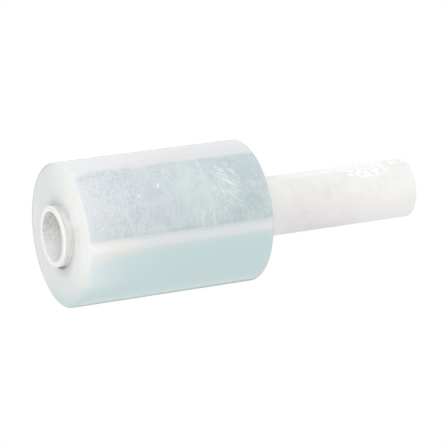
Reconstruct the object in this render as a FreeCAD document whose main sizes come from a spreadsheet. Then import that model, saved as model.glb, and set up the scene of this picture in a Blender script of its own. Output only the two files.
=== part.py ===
import FreeCAD, Part
import math
import os
import Sketcher

# A mini stretch wrap roll: clear film wound on a paper core twice as long as the film is wide.
# Sizes are in millimetres and degrees.
# The roll stands on the short stub of its core, and the bare handle points up along +Z.
# The origin is the centre of the stub's end ring.

os.makedirs("parts", exist_ok=True)
doc = FreeCAD.newDocument("StretchWrapRoll")

# Sizes: one row for every size that can be chosen on its own
SIZES = [
    ("film_width", 100.7, "length of the wound body: 100 mm film, whose turns wander a little"),
    ("film_diameter", 73.0, "outside of the wound film, at its free edge"),
    ("film_edge_radius", 0.7, "soft rounding between the wound side and the end faces"),
    ("tail_step", 0.24, "height of the free edge, where the film is folded over on itself"),
    ("tail_angle", 62.0, "where the free edge lies, from +X towards +Y"),
    ("winding_gap", 0.0, "between the paper and the first turn, which is wound on tight"),
    ("core_bore", 25.4, "inside of the paper core"),
    ("core_wall", 2.6, "thickness of the wound paper"),
    ("core_length", 200.0, "paper core from end to end"),
    ("core_edge_bevel", 0.35, "burnished edge that the cutting knife leaves"),
    ("stub_length", 4.3, "core that stands out below the film"),
    ("ply_width", 60.0, "width of the paper strips that the core is wound from"),
    ("seam_gap", 0.5, "gap between neighbouring windings of a strip"),
    ("seam_depth", 0.16, "depth of that gap, which is one ply of paper"),
    ("seam_lead", 21.0, "how far below the stub the outer seam would begin"),
]

# The film wandered sideways a little while it was wound. Each band of turns ends after a
# share of the winding, from 0 at the core to 1 where the soft edge begins, and is shifted
# along the axis by an amount of its own in millimetres. It shows as a sunk ring on one end
# face and as a raised ring on the other.
TURN_BANDS = [
    (0.08, 0.30),
    (0.22, 0.10),
    (0.37, 0.24),
    (0.55, 0.04),
    (0.68, 0.20),
    (0.89, 0.26),
]
# The last band reaches the outside, so it has a shift and no edge of its own
OUTER_BAND_SHIFT = 0.12

rows = list(SIZES)
for number, (band_end, band_shift) in enumerate(TURN_BANDS, start=1):
    rows.append((f"band_end_{number}", band_end, "share of the winding where a band of turns ends"))
    rows.append((f"band_shift_{number}", band_shift, "shift of that band along the axis"))
rows.append(("outer_band_shift", OUTER_BAND_SHIFT, "shift of the outermost band along the axis"))
sheet = doc.addObject("Spreadsheet::Sheet", "Sizes")
for row, (name, value, meaning) in enumerate(rows, start=1):
    sheet.set(f"A{row}", name)
    sheet.set(f"B{row}", str(value))
    sheet.set(f"C{row}", meaning)
    sheet.setAlias(f"B{row}", name)
doc.recompute()

# Sizes that follow from the others, as formulas
BORE_RADIUS = "(Sizes.core_bore / 2)"
CORE_RADIUS = "(Sizes.core_bore / 2 + Sizes.core_wall)"
FIRST_TURN_RADIUS = f"({CORE_RADIUS} + Sizes.winding_gap)"
FILM_RADIUS = "(Sizes.film_diameter / 2)"
# The web is turned a little too large, and the spiral of the last turn then trims it
BLANK_RADIUS = f"({FILM_RADIUS} + Sizes.tail_step / 2)"
WINDING = f"({BLANK_RADIUS} - Sizes.film_edge_radius - {FIRST_TURN_RADIUS})"
# A strip of width w on a core of girth g climbs by w / sqrt(1 - (w / g)^2) in one turn
CORE_GIRTH = f"(2 * pi * {CORE_RADIUS})"
SEAM_PITCH = f"(Sizes.ply_width / sqrt(1 - (Sizes.ply_width / {CORE_GIRTH})^2))"
# The soft edge of the film is a quarter circle drawn with three chords
CHORD_ANGLES = ("0 deg", "30 deg", "60 deg", "90 deg")

Z_AXIS = FreeCAD.Vector(0, 0, 1)
# How a sketch numbers its origin or X axis, the two ends of a curve, and its centre
ORIGIN = -1
START = 1
END = 2
CENTRE = 3


def value_of(formula):
    """The present value of a size formula."""
    return float(sheet.evalExpression(formula))


def new_body(label):
    """An empty body, whose label names its file."""
    body = doc.addObject("PartDesign::Body", label)
    body.Label = label
    return body


def new_sketch(body, name, role):
    """An empty sketch on one of the body's own origin planes."""
    sketch = body.newObject("Sketcher::SketchObject", name)
    plane = next(item for item in body.Origin.OriginFeatures if item.Role == role)
    sketch.AttachmentSupport = [(plane, "")]
    sketch.MapMode = "FlatFace"
    return sketch


def place_point(sketch, kind, curve, point, formula):
    """Dimension a point of a curve from the sketch's origin, and tie it to a size formula."""
    dimension = Sketcher.Constraint(kind, ORIGIN, START, curve, point, value_of(formula))
    number = sketch.addConstraint(dimension)
    sketch.setExpression(f"Constraints[{number}]", formula)


def draw_outline(sketch, corners):
    """A closed outline of straight lines through corners, each a pair of size formulas."""
    points = [FreeCAD.Vector(value_of(across), value_of(along), 0) for across, along in corners]
    lines = []
    for point, following in zip(points, points[1:] + points[:1]):
        lines.append(sketch.addGeometry(Part.LineSegment(point, following), False))
    for line, following, (across, along) in zip(lines, lines[1:] + lines[:1], corners):
        sketch.addConstraint(Sketcher.Constraint("Coincident", line, END, following, START))
        place_point(sketch, "DistanceX", line, START, across)
        place_point(sketch, "DistanceY", line, START, along)


def revolve(body, name, sketch):
    """Turn an outline once round the Z axis."""
    feature = body.newObject("PartDesign::Revolution", name)
    feature.Profile = sketch
    feature.ReferenceAxis = (sketch, ["V_Axis"])
    feature.Angle = 360
    doc.recompute()
    return feature


def report_cut(name, before, after):
    """Say how much a cut removed, and stop if it removed nothing."""
    removed = before.Volume - after.Volume
    print(name, "removed", round(removed, 2), "cubic mm")
    if removed <= 0:
        raise RuntimeError(f"{name} cut nothing")


# Paper core: a plain tube with knife-cut ends
core = new_body("core_tube")
wall = new_sketch(core, "CoreWall", "XZ_Plane")
draw_outline(wall, [
    (BORE_RADIUS, "0"),
    (CORE_RADIUS, "0"),
    (CORE_RADIUS, "Sizes.core_length"),
    (BORE_RADIUS, "Sizes.core_length"),
])
tube = revolve(core, "CoreTube", wall)
rims = []
for number, edge in enumerate(tube.Shape.Edges, start=1):
    if isinstance(edge.Curve, Part.Circle):
        rims.append(f"Edge{number}")
knife_edges = core.newObject("PartDesign::Chamfer", "KnifeEdges")
knife_edges.Base = (tube, rims)
knife_edges.setExpression("Size", "Sizes.core_edge_bevel")
doc.recompute()


def cut_seam(name, surface_radius, outwards, lead):
    """Cut the helical gap that a strip leaves on the outside (1) or the inside (-1) of the core.

    The notch is a triangle as deep below the paper as it stands clear of it, so its width at
    the surface is half of its width at the top. It starts below the stub and runs past the
    handle's end, by the same lead, so that both ends of the core cut through it.
    """
    notch = new_sketch(core, f"{name}Notch", "XZ_Plane")
    deep = f"{surface_radius} - {outwards} * Sizes.seam_depth"
    clear = f"{surface_radius} + {outwards} * Sizes.seam_depth"
    draw_outline(notch, [
        (deep, f"-{lead}"),
        (clear, f"-{lead} - Sizes.seam_gap"),
        (clear, f"-{lead} + Sizes.seam_gap"),
    ])
    before = core.Shape
    seam = core.newObject("PartDesign::SubtractiveHelix", name)
    seam.Profile = notch
    seam.ReferenceAxis = (notch, ["V_Axis"])
    seam.Mode = "pitch-height-angle"
    seam.setExpression("Pitch", SEAM_PITCH)
    seam.setExpression("Height", f"Sizes.core_length + 2 * {lead}")
    doc.recompute()
    report_cut(name, before, core.Shape)


# The inner strip is wound half a pitch away from the outer one, so that their seams stay apart
cut_seam("OuterSeam", CORE_RADIUS, 1, "Sizes.seam_lead")
cut_seam("InnerSeam", BORE_RADIUS, -1, f"(Sizes.seam_lead + {SEAM_PITCH} / 2)")

# Film: the section of the wound web, with its bands of turns
film = new_body("film_roll")
film.setExpression("Placement.Base.z", "Sizes.stub_length")
near_side = []
far_side = []
inner_edge = FIRST_TURN_RADIUS
for number in range(1, len(TURN_BANDS) + 1):
    band_shift = f"Sizes.band_shift_{number}"
    outer_edge = f"({FIRST_TURN_RADIUS} + Sizes.band_end_{number} * {WINDING})"
    for radius in (inner_edge, outer_edge):
        near_side.append((radius, band_shift))
        far_side.append((radius, f"Sizes.film_width + {band_shift}"))
    inner_edge = outer_edge
near_side.append((inner_edge, "Sizes.outer_band_shift"))
far_side.append((inner_edge, "Sizes.film_width + Sizes.outer_band_shift"))
for angle in CHORD_ANGLES:
    radius = f"{BLANK_RADIUS} - Sizes.film_edge_radius * (1 - sin({angle}))"
    inset = f"Sizes.film_edge_radius * (1 - cos({angle}))"
    near_side.append((radius, f"Sizes.outer_band_shift + {inset}"))
    far_side.append((radius, f"Sizes.film_width + Sizes.outer_band_shift - {inset}"))
web_section = new_sketch(film, "WebSection", "XZ_Plane")
draw_outline(web_section, near_side + far_side[::-1])
wound_web = revolve(film, "WoundWeb", web_section)

# The last turn spirals inwards from the free edge. It is drawn as two half circles, whose
# centres lie a quarter of the step to either side of the axis: they meet smoothly on the
# far side and leave one full step at the free edge.
last_turn = new_sketch(film, "LastTurnOutline", "XY_Plane")
last_turn.AttachmentOffset = FreeCAD.Placement(FreeCAD.Vector(), FreeCAD.Rotation(Z_AXIS, 1))
last_turn.setExpression("AttachmentOffset.Rotation.Angle", "Sizes.tail_angle")
film_radius = value_of(FILM_RADIUS)
tail_step = value_of("Sizes.tail_step")
outer_circle = Part.Circle(FreeCAD.Vector(tail_step / 4, 0, 0), Z_AXIS, film_radius - tail_step / 4)
inner_circle = Part.Circle(
    FreeCAD.Vector(-tail_step / 4, 0, 0), Z_AXIS, film_radius - 3 * tail_step / 4
)
free_edge = Part.LineSegment(
    FreeCAD.Vector(film_radius - tail_step, 0, 0), FreeCAD.Vector(film_radius, 0, 0)
)
outer_half = last_turn.addGeometry(Part.ArcOfCircle(outer_circle, 0, math.pi), False)
inner_half = last_turn.addGeometry(Part.ArcOfCircle(inner_circle, math.pi, 2 * math.pi), False)
riser = last_turn.addGeometry(free_edge, False)
last_turn.addConstraint([
    Sketcher.Constraint("Coincident", outer_half, END, inner_half, START),
    Sketcher.Constraint("Coincident", inner_half, END, riser, START),
    Sketcher.Constraint("Coincident", riser, END, outer_half, START),
    Sketcher.Constraint("PointOnObject", outer_half, CENTRE, ORIGIN),
    Sketcher.Constraint("PointOnObject", outer_half, START, ORIGIN),
    Sketcher.Constraint("PointOnObject", outer_half, END, ORIGIN),
    Sketcher.Constraint("PointOnObject", inner_half, CENTRE, ORIGIN),
    Sketcher.Constraint("PointOnObject", inner_half, END, ORIGIN),
])
place_point(last_turn, "DistanceX", outer_half, START, FILM_RADIUS)
place_point(last_turn, "DistanceX", outer_half, CENTRE, "Sizes.tail_step / 4")
place_point(last_turn, "DistanceX", inner_half, CENTRE, "-Sizes.tail_step / 4")
# Everything between the spiral and a circle well outside the film is trimmed off
outside = last_turn.addGeometry(Part.Circle(FreeCAD.Vector(), Z_AXIS, 2 * film_radius), False)
last_turn.addConstraint(Sketcher.Constraint("Coincident", outside, CENTRE, ORIGIN, START))
outside_size = last_turn.addConstraint(Sketcher.Constraint("Radius", outside, 2 * film_radius))
last_turn.setExpression(f"Constraints[{outside_size}]", "Sizes.film_diameter")
trim = film.newObject("PartDesign::Pocket", "LastTurn")
trim.Profile = last_turn
trim.Type = "ThroughAll"
trim.Midplane = True
doc.recompute()
report_cut("LastTurn", wound_web.Shape, trim.Shape)

# Check every object and both solids, then write one file for each piece
for item in doc.Objects:
    if "Invalid" in item.State or "Error" in item.State:
        raise RuntimeError(f"{item.Label} failed: {item.State}")
for body in (core, film):
    shape = body.Shape
    if shape.isNull() or not shape.isValid() or len(shape.Solids) != 1:
        raise RuntimeError(f"{body.Label} is not one sound solid")
for body in (core, film):
    body.Shape.exportStep(f"parts/{body.Label}.step")
    box = body.Shape.optimalBoundingBox()
    print(
        body.Label, round(body.Shape.Volume / 1000, 2), "cubic cm,",
        round(box.XLength, 2), "x", round(box.YLength, 2), "x", round(box.ZLength, 2), "mm",
    )
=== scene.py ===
# %% [markdown]
# # A mini stretch wrap roll
#
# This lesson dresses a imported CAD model: a roll of clear stretch film on a long paper core.
# The roll stands on the short stub of its core, and the bare end of the core, which is the
# handle, points up along +Z. All lengths are in metres, in the frame of the CAD model.
#
# The CAD solids are plain. Two new meshes replace them: the wound film with its turns and
# creases, and the paper core with its plies and its worn cut edges.

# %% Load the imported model
import math

import bpy
import numpy as np
from mathutils import Matrix, Vector


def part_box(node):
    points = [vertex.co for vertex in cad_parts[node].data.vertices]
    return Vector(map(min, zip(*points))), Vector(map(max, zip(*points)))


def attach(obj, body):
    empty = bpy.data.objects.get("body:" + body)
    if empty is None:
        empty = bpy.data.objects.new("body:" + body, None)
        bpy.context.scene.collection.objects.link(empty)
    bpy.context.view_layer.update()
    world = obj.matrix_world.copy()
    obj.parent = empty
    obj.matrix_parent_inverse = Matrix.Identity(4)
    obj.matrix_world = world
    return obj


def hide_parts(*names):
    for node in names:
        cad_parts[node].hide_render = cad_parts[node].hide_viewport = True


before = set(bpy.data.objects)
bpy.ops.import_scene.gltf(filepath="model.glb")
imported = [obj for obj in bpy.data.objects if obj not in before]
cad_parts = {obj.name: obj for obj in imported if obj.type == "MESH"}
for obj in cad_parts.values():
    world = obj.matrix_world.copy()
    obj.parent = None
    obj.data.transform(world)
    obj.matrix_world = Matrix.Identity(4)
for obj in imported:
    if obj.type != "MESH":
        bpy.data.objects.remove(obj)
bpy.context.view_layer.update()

# %% [markdown]
# ## Sizes
#
# The core's sizes are read from the frame, so the new mesh can't drift away from the solid.
# The film's solid has a spiral outside, so its radius is given here and printed beside
# the solid's box.

# %% Sizes of the two pieces
MM = 0.001
core_low, core_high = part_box("core_tube")
film_low, film_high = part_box("film_roll")

CORE_RADIUS = (core_high.x - core_low.x) / 2
CORE_LENGTH = core_high.z - core_low.z
CORE_WALL = 2.6 * MM
BORE_RADIUS = CORE_RADIUS - CORE_WALL
CORE_EDGE = 0.35 * MM
SEAM_PITCH = 76.8 * MM

FILM_RADIUS = 36.5 * MM
FILM_WIDTH = 100.7 * MM
FILM_START = 4.3 * MM
FILM_EDGE = 0.7 * MM
TAIL_STEP = 0.24 * MM
TAIL_ANGLE = math.radians(62)

print("core radius", round(CORE_RADIUS / MM, 2), "mm, length", round(CORE_LENGTH / MM, 1), "mm")
print("film box", round((film_high.x - film_low.x) / MM, 2), "mm across, drawn with a radius of",
      FILM_RADIUS / MM, "mm")

# %% [markdown]
# ## Helpers for surfaces
#
# Both pieces are rings: a closed section carried once round the Z axis. Such a surface is a
# grid that closes on itself both ways, so it has no poles and no open ends. The grid's
# points are worked out as whole numpy arrays.
#
# Creases and fibres need chance that is the same in every run. A lattice of seeded random
# values, blended smoothly between its points, gives that.


# %% A smooth random field
def smooth_step(value, low, high):
    """0 below low, 1 above high, and 3t^2 - 2t^3 between them."""
    t = np.clip((value - low) / (high - low), 0, 1)
    return t * t * (3 - 2 * t)


def random_field(around, along, cells_around, cells_along, seed):
    """Smooth random heights between -1 and 1.

    Random values sit on a lattice, and each point blends its four neighbours with the curve
    3t^2 - 2t^3. around goes from 0 to 1 and closes on itself, along goes from 0 to 1.
    """
    lattice = np.random.default_rng(seed).uniform(-1, 1, (cells_around, cells_along + 2))
    across = (np.asarray(around) % 1.0) * cells_around
    up = np.clip(along, 0, 1) * cells_along
    column = np.floor(across).astype(int)
    row = np.floor(up).astype(int)
    side = smooth_step(across - column, 0, 1)
    rise = smooth_step(up - row, 0, 1)
    left = column % cells_around
    right = (column + 1) % cells_around
    lower = lattice[left, row] * (1 - side) + lattice[right, row] * side
    upper = lattice[left, row + 1] * (1 - side) + lattice[right, row + 1] * side
    return lower * (1 - rise) + upper * rise


# %% A closed ring from a grid of points
def add_object(name, data):
    """A new object at the world's origin, linked to the scene."""
    made = bpy.data.objects.new(name, data)
    bpy.context.scene.collection.objects.link(made)
    return made


def ring_piece(name, points, row_material, materials, sharp_degrees):
    """A mesh object from a grid of points that closes both ways.

    points has the shape (rows, columns, 3). Each quad joins a point with its neighbours in
    the next column and the next row, and takes the material number of its row. The signed
    volume, a sixth of the sum of a . (b x c) over all triangles, shows whether the quads
    face outwards, and they are turned over if it is negative.
    """
    rows, columns = points.shape[:2]
    corner = np.arange(rows * columns).reshape(rows, columns)
    beside = np.roll(corner, -1, axis=1)
    above = np.roll(corner, -1, axis=0)
    opposite = np.roll(above, -1, axis=1)
    quads = np.stack([corner, beside, opposite, above], axis=-1).reshape(-1, 4)
    flat = points.reshape(-1, 3)
    a, b, c, d = (flat[quads[:, k]] for k in range(4))
    volume = (a * np.cross(b, c) + a * np.cross(c, d)).sum() / 6
    if volume < 0:
        quads = quads[:, ::-1]
    mesh = bpy.data.meshes.new(name)
    mesh.vertices.add(len(flat))
    mesh.vertices.foreach_set("co", flat.astype(np.float32).ravel())
    mesh.loops.add(quads.size)
    mesh.loops.foreach_set("vertex_index", quads.ravel().astype(np.int32))
    mesh.polygons.add(len(quads))
    mesh.polygons.foreach_set("loop_start", np.arange(0, quads.size, 4, dtype=np.int32))
    mesh.polygons.foreach_set("material_index", np.repeat(row_material, columns).astype(np.int32))
    mesh.polygons.foreach_set("use_smooth", np.ones(len(quads), dtype=bool))
    mesh.update(calc_edges=True)
    mesh.validate()
    mesh.set_sharp_from_angle(angle=math.radians(sharp_degrees))
    for material in materials:
        mesh.materials.append(material)
    print(name, "has", 2 * len(quads), "triangles and holds", round(abs(volume) * 1e6, 1), "cubic cm")
    return add_object(name, mesh)


# %% [markdown]
# ## Helpers for materials
#
# Every finish here is made of shader nodes. These helpers add a node, set its inputs and
# join it up in one line, so that a material below reads like a list of its effects.
# Colours are picked as screen colours from 0 to 255 and turned into the linear values
# that a shader works with.
#
# Most effects are masks: values from 0 to 1 that say how strongly a paint lies on each
# point. A mask is made of soft ramps, and several masks are multiplied.


# %% Colours
def paint(red, green, blue):
    """A screen colour, 0 to 255, as linear red, green, blue and alpha."""
    part = np.array([red, green, blue]) / 255
    linear = np.where(part <= 0.04045, part / 12.92, ((part + 0.055) / 1.055) ** 2.4)
    return (*[float(v) for v in linear], 1.0)


WHITE = paint(255, 255, 255)
print("screen white is", WHITE[:3], "and screen grey 128 is", round(paint(128, 128, 128)[0], 3))


# %% Nodes and sums
def put(tree, socket, value):
    """Join a socket to another one, or set it to a plain value."""
    if isinstance(value, bpy.types.NodeSocket):
        tree.links.new(value, socket)
    else:
        socket.default_value = value


def node(tree, kind, inputs=(), **settings):
    """Add a node, set its properties, and put values or links into its inputs."""
    made = tree.nodes.new(kind)
    for key, value in settings.items():
        setattr(made, key, value)
    for key, value in dict(inputs).items():
        put(tree, made.inputs[key], value)
    return made


def calc(tree, operation, first, second=0.0, clamp=False):
    """The result of one Math node."""
    made = node(tree, "ShaderNodeMath", {0: first, 1: second}, operation=operation, use_clamp=clamp)
    return made.outputs[0]


def product(tree, *parts):
    """All parts multiplied."""
    total = parts[0]
    for part in parts[1:]:
        total = calc(tree, "MULTIPLY", total, part)
    return total


def weighted(tree, parts):
    """The sum of (value, weight) pairs."""
    total = 0.0
    for value, weight in parts:
        made = node(tree, "ShaderNodeMath", {0: value, 1: weight, 2: total}, operation="MULTIPLY_ADD")
        total = made.outputs[0]
    return total


# %% Masks
def ramp(tree, value, start, full):
    """0 at start, 1 at full, and smooth between them. It falls where start is the larger."""
    made = node(
        tree, "ShaderNodeMapRange", {"Value": value, "From Min": start, "From Max": full},
        interpolation_type="SMOOTHSTEP",
    )
    return made.outputs["Result"]


def band(tree, value, low, high):
    """1 between two soft limits, 0 outside them. Each limit is a pair of values."""
    return calc(tree, "SUBTRACT", ramp(tree, value, *low), ramp(tree, value, *high))


def fade(tree, distance, depth):
    """exp(-distance / depth), which is 1 at no distance."""
    return calc(tree, "EXPONENT", product(tree, distance, -1 / depth))


def split(tree, vector):
    """The X, Y and Z of a vector."""
    return node(tree, "ShaderNodeSeparateXYZ", {0: vector}).outputs


def measure(tree, operation, first, second=(0.0, 0.0, 0.0)):
    """A length, a distance or a dot product, from a Vector Math node."""
    return node(tree, "ShaderNodeVectorMath", {0: first, 1: second}, operation=operation).outputs["Value"]


def from_axis(tree, place):
    """The way from the Z axis to a point, level with it, and the length of that way."""
    xyz = split(tree, place)
    flat = node(tree, "ShaderNodeCombineXYZ", {"X": xyz["X"], "Y": xyz["Y"]}).outputs[0]
    return flat, measure(tree, "LENGTH", flat)


# %% Paints over paints
def blend(tree, factor, first, second, mode="MIX"):
    """The result of one colour Mix node."""
    made = node(tree, "ShaderNodeMix", data_type="RGBA", blend_type=mode)
    put(tree, made.inputs["Factor"], factor)
    put(tree, made.inputs["A"], first)
    put(tree, made.inputs["B"], second)
    return made.outputs["Result"]


def lay(tree, colour, over, *masks, mode="MIX"):
    """Lay a paint over a colour, as strongly as the product of the masks."""
    return blend(tree, product(tree, *masks), colour, over, mode)


def tint(tree, colour, over, *masks):
    """Multiply a colour by a paint, as strongly as the product of the masks."""
    return lay(tree, colour, over, *masks, mode="MULTIPLY")


# %% Noise
def stretched(tree, vector, scale, turn=(0.0, 0.0, 0.0)):
    """A Mapping node: coordinates turned and then scaled along each axis."""
    made = node(tree, "ShaderNodeMapping", {"Vector": vector, "Scale": scale, "Rotation": turn})
    return made.outputs["Vector"]


def cloud(tree, vector, scale=1.0, detail=3.0, roughness=0.5):
    """A Noise texture as one value."""
    made = node(
        tree, "ShaderNodeTexNoise",
        {"Vector": vector, "Scale": scale, "Detail": detail, "Roughness": roughness},
    )
    return made.outputs["Fac"]


def ring_noise(tree, radius, scale, detail, roughness):
    """Noise that changes with the distance from the axis alone, so it draws rings."""
    along_radius = node(tree, "ShaderNodeCombineXYZ", {"X": radius}).outputs[0]
    return cloud(tree, along_radius, scale, detail, roughness)


# %% Materials and node groups
def blank_tree(owner):
    """The emptied node tree of a material or a world."""
    owner.use_nodes = True
    owner.node_tree.nodes.clear()
    return owner.node_tree


def new_material(name):
    """An empty node material with its Principled shader and object coordinates."""
    material = bpy.data.materials.new(name)
    tree = blank_tree(material)
    shader = node(tree, "ShaderNodeBsdfPrincipled")
    node(tree, "ShaderNodeOutputMaterial", {"Surface": shader.outputs["BSDF"]})
    return material, tree, shader, node(tree, "ShaderNodeTexCoord").outputs["Object"]


def surface(tree, shader, colour, roughness, relief, strength, depth):
    """Give the shader its colour, its roughness and a bump of this depth."""
    grain = node(tree, "ShaderNodeBump", {"Height": relief, "Strength": strength, "Distance": depth})
    put(tree, shader.inputs["Base Color"], colour)
    put(tree, shader.inputs["Roughness"], roughness)
    put(tree, shader.inputs["Normal"], grain.outputs["Normal"])


def new_group(name, inputs, outputs):
    """A shader node group with inputs of the kinds given and outputs that are numbers."""
    tree = bpy.data.node_groups.new(name, "ShaderNodeTree")
    for label, kind in inputs.items():
        tree.interface.new_socket(label, in_out="INPUT", socket_type=kind)
    for label in outputs:
        tree.interface.new_socket(label, in_out="OUTPUT", socket_type="NodeSocketFloat")
    return tree, tree.nodes.new("NodeGroupInput").outputs, tree.nodes.new("NodeGroupOutput").inputs


def place_group(tree, group, inputs):
    """Put a node group into a material with its own values, and give its outputs."""
    made = tree.nodes.new("ShaderNodeGroup")
    made.node_tree = group
    for key, value in inputs.items():
        put(tree, made.inputs[key], value)
    return made.outputs


# %% [markdown]
# ## The finish of the film
#
# Stretch film is clear, but hundreds of turns of it look like pale, slightly green ice:
# the roll lets light in a little way and throws it back. The outer turns trap air. Where
# they do, the film turns silvery and crinkled, with fine streaks that run round the roll.
# Beside that zone the film lies flat. Below, it shows its plain teal tint, with a narrow
# pale strip under the crinkles, partly a painted reflection of the strip light. On top the
# crinkles fade into a smooth milky band, a painted reflection of a wide softbox above. Light
# also enters through the end faces, so the side grows paler towards its lower end, as ice
# does near a bright edge, and that glow is painted into the colour.
#
# Real layers of clear film would be slow and noisy, and the turns are one solid here. So
# the film is an opaque shader with a little subsurface light and a glossy surface. Its
# pattern is drawn on the film as if it was unrolled: one coordinate is the length along
# the film from its free edge, the other the height over the lower end face, both in metres.

# %% Zones and paints of the film's side
# The zones lie along the roll. Each limit is a height over the middle plane towards -X,
# as a share of the radius. It is soft between its two values.
CRINKLE_LOW = (-0.172, -0.152)
CRINKLE_HIGH = (0.775, 0.815)
# The painted reflection on top fades into the paint of the crinkles over a wider stretch
TOP_REFLECTION_FADE = (0.755, 0.855)
# The pale strip under the crinkles is partly a painted reflection of the strip light and partly its real
# reflection
STRIP_LOW = (-0.39, -0.29)
# The strip is wider beside the lower end, and tapers over this length
STRIP_TAPER = 22.0 * MM
STRIP_WIDENS = 0.13
# Beside the lower end the film is smooth, and its crinkles start over this stretch
CALM_END = (0.0 * MM, 4.5 * MM)
# Light that entered by an end face fades over these depths at the lower and upper end
GLOW_DEPTH = 14.0 * MM
FAR_GLOW_DEPTH = 3.5 * MM
# Beside the lower end some limits and tones change within this depth
SHORT_DEPTH = 4.0 * MM

FLAT_TEAL = paint(199, 220, 220)
SMOOTH_PALE = paint(214, 219, 223)
# Painted reflection of the strip light, under the crinkles
STRIP_REFLECTION_GREY = paint(210, 216, 218)
STRIP_REFLECTION_CREAM = paint(223, 224, 217)
# Painted reflection of a wide softbox above, on the film's top
TOP_REFLECTION = paint(225, 226, 228)
TOP_REFLECTION_PALE = paint(230, 231, 232)
TOP_REFLECTION_EDGE = paint(221, 222, 224)
SILVER_LAVENDER = paint(212, 216, 220)
SILVER_TEAL = paint(208, 218, 219)
AIR_DARK = paint(228, 234, 236)
AIR_LIGHT = WHITE
CREASE_WHITE = paint(240, 243, 245)
GLOW_WHITE = paint(244, 246, 248)
EDGE_DARK = paint(170, 196, 200)

# %% [markdown]
# Trapped air has patterns of several sizes at once: thin streaks along the film, frost with
# fine grains, small round mottles, clouds, and a wide drift of the zones themselves. Each is
# noise, squeezed along the film and across it and turned a little. All five are drawn by
# one node group, so that the side's material only has to weigh them.

# %% Node group: patterns of trapped air
# Each pattern: its fineness along the film and across it, for each metre, its turn in
# radians, and the detail and roughness of its noise
AIR_PATTERNS = {
    "Streaks": (170, 800, 0.06, 3.0, 0.6),
    "Frost": (760, 980, 0.4, 3.0, 0.6),
    "Clouds": (110, 130, 0.5, 3.0, 0.55),
    "Drift": (22, 34, 0.0, 1.0, 0.4),
    "Mottles": (420, 560, 0.3, 1.0, 0.5),
}


def trapped_air_group():
    """One output for each pattern: noise of the unrolled place, scaled and turned."""
    tree, inside, outside = new_group("trapped_air", {"Unrolled": "NodeSocketVector"}, AIR_PATTERNS)
    for name, (along, across, turn, detail, roughness) in AIR_PATTERNS.items():
        place = stretched(tree, inside["Unrolled"], (along, across, 1), (0, 0, turn))
        put(tree, outside[name], cloud(tree, place, 1.0, detail, roughness))
    return tree


TRAPPED_AIR = trapped_air_group()
print("trapped air has", len(AIR_PATTERNS), "patterns")

# %% [markdown]
# Some places of the crinkled zone hold more air than others. A few broad, soft clouds make
# them paler or darker. They follow the real roll in place and size.

# %% Pale and dark clouds in the crinkled zone
# Each cloud: height, place above the film's lower end, reach in height, reach along the
# roll, and how much paler it is
BROAD_CLOUDS = [
    (0.30, 65 * MM, 0.36, 24 * MM, 0.37), (0.64, 90 * MM, 0.29, 26 * MM, -0.5),
    (0.06, 86 * MM, 0.22, 14 * MM, -0.42), (-0.02, 10 * MM, 0.20, 22 * MM, -0.35),
    (0.62, 22 * MM, 0.22, 16 * MM, -0.2),
]


def broad_clouds(tree, height, along):
    """The sum of round soft clouds, each 1 - distance^2 within its reach."""
    clouds = []
    for at_height, at_length, reach_up, reach_along, paler in BROAD_CLOUDS:
        up = weighted(tree, [(height, 1 / reach_up), (1.0, -at_height / reach_up)])
        sideways = weighted(tree, [(along, 1 / reach_along), (1.0, -at_length / reach_along)])
        squares = weighted(tree, [(up, up), (sideways, sideways)])
        clouds.append((calc(tree, "SUBTRACT", 1.0, squares, clamp=True), paler))
    return weighted(tree, clouds)


# %% [markdown]
# The lap lines are faint pale lines that run once round the roll. They show where the
# film's edge lay in an earlier turn, or where the film was folded a little. A lap line is a
# narrow band in height that wanders with noise along the film.

# %% Lap lines
# Height over the film's lower end and half width of each lap line, and how pale it is
LAP_LINES = [
    (68.0 * MM, 1.8 * MM, 0.35), (68.4 * MM, 0.6 * MM, 0.55), (12.5 * MM, 0.8 * MM, 0.2),
    (33.0 * MM, 0.7 * MM, 0.2),
]


def lap_lines(tree, along):
    """How pale the lap lines make each point: most on a line, and nothing past its half width."""
    lines = []
    for height, half_width, paler in LAP_LINES:
        off_line = calc(tree, "ABSOLUTE", calc(tree, "SUBTRACT", along, height))
        lines.append((ramp(tree, off_line, half_width, 0.0), paler))
    return weighted(tree, lines)


# %% [markdown]
# The side's material is put together from three parts: the silver of the crinkled zone, the
# smooth zones beside it, two of which hold painted reflections, and the painted glow of the
# light that entered by the end faces. How white the silver is comes from one weighted sum
# of all its patterns. Some patterns are stronger beside the lower end, inland, or in the
# far part of the roll.

# %% Light inside the film
FILM_IOR = 1.49
FILM_LIGHT_REACH = 2.0 * MM


def let_light_in(shader, weight, reach):
    """Light enters the film a little way, further where its reach by colour is larger."""
    shader.inputs["IOR"].default_value = FILM_IOR
    shader.inputs["Subsurface Weight"].default_value = weight
    shader.inputs["Subsurface Radius"].default_value = reach
    shader.inputs["Subsurface Scale"].default_value = FILM_LIGHT_REACH


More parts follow.
